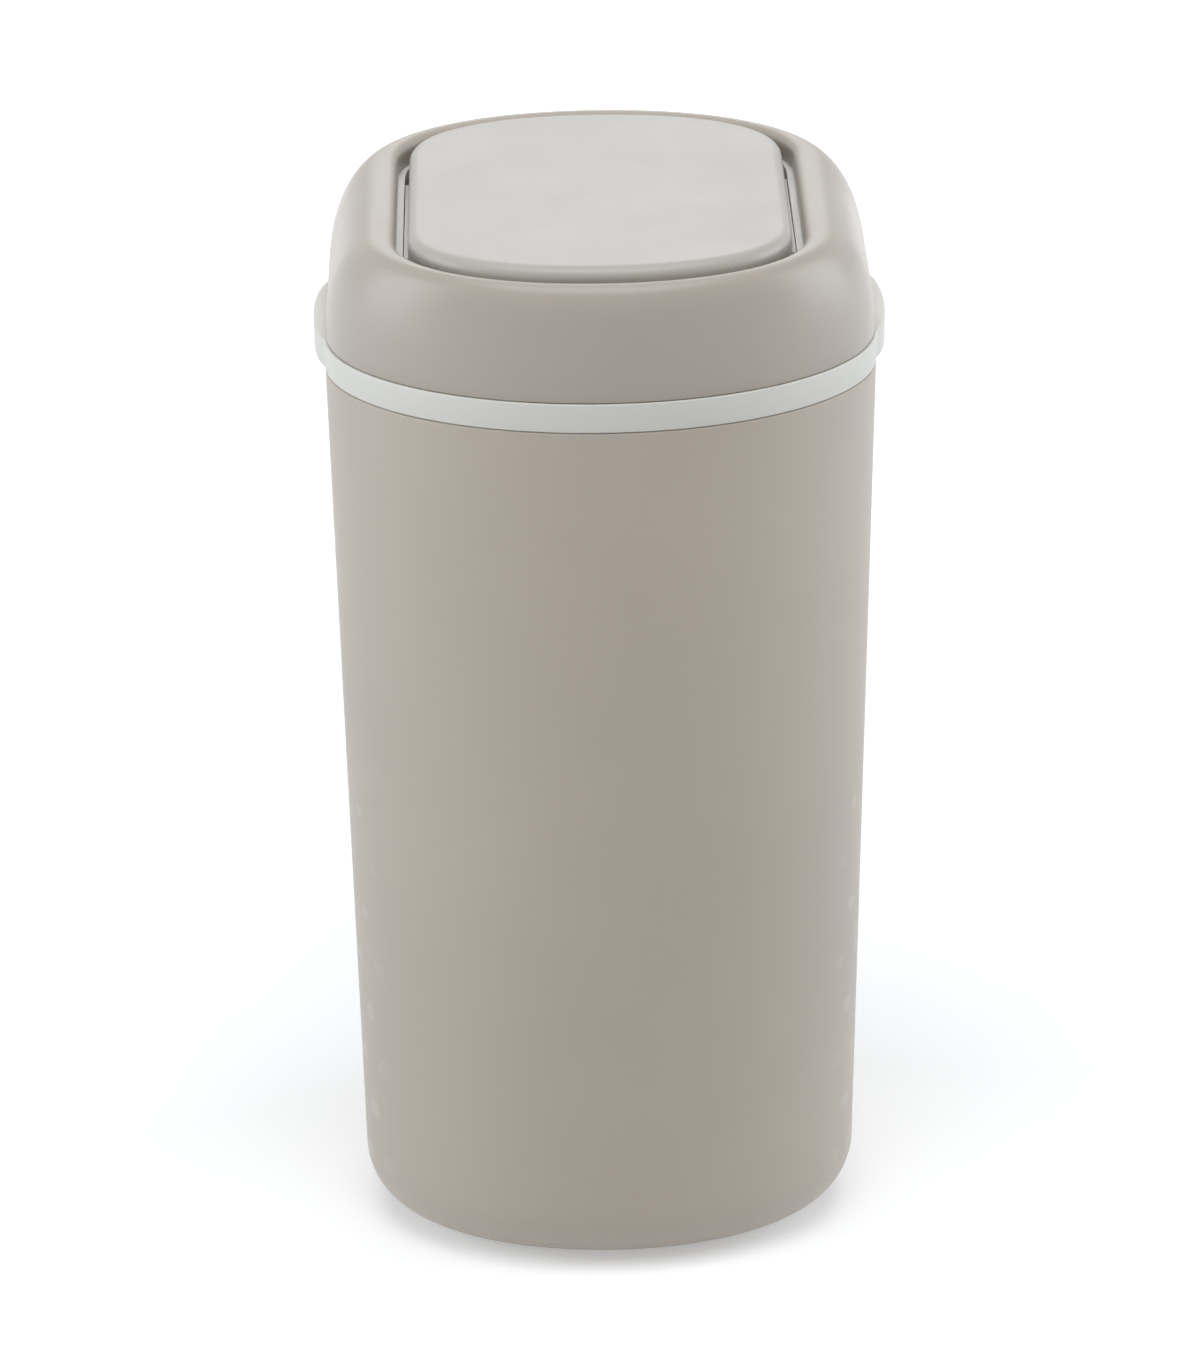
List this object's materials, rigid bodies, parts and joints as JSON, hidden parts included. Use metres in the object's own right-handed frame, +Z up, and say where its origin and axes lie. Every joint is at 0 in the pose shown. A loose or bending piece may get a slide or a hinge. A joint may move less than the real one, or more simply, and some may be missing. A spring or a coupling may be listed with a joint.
{
  "type": "nappy bin",
  "caption": "Tall tapered bin for used nappies: a tub, a bag ring with side grips, and a lift-off domed lid with a weighted swing flap.",
  "frame": {"origin": "on the floor under the centre of the tub", "axes": "+Z up, -Y towards the front, +X to the right seen from the front"},
  "size_m": [0.251, 0.24, 0.4812],
  "materials": {
    "taupe_plastic": "moulded plastic with a fine satin grain",
    "white_plastic": "smooth satin plastic",
    "grey_plastic": "smooth matte plastic",
    "acetal": "smooth bearing plastic",
    "dark_rubber": "matte rubber",
    "steel": "zinc-plated steel"
  },
  "bodies": {
    "tub": {"tub": "taupe_plastic", "foot_pads": "dark_rubber"},
    "ring": {"bag_ring": "white_plastic", "ring_seal": "dark_rubber"},
    "lid": {"lid_shell": "taupe_plastic", "lid_skirt": "grey_plastic", "lid_seal": "dark_rubber", "lid_frame": "grey_plastic", "frame_screws": "steel", "pivot_bracket_left": "grey_plastic", "pivot_bracket_right": "grey_plastic", "bracket_screws": "steel", "pivot_bush_left": "acetal", "pivot_bush_right": "acetal", "rest_pads": "dark_rubber"},
    "flap": {"flap_cover": "taupe_plastic", "flap_tray": "grey_plastic", "flap_seal": "dark_rubber", "flap_screws": "steel", "pivot_pin_left": "steel", "pivot_pin_right": "steel", "counterweight": "steel", "weight_clamps": "steel", "clamp_screws": "steel"}
  },
  "joints": [
    {"name": "ring_lift", "type": "slide", "parent": "tub", "child": "ring", "axis": [0, 0, 1], "range_m": [0, 0.06]},
    {"name": "lid_lift", "type": "slide", "parent": "ring", "child": "lid", "axis": [0, 0, 1], "range_m": [0, 0.09]},
    {"name": "flap_swing", "type": "hinge", "parent": "lid", "child": "flap", "pos_m": [0, 0, 0.4587], "axis": [1, 0, 0], "range_deg": [0, 65]}
  ]
}
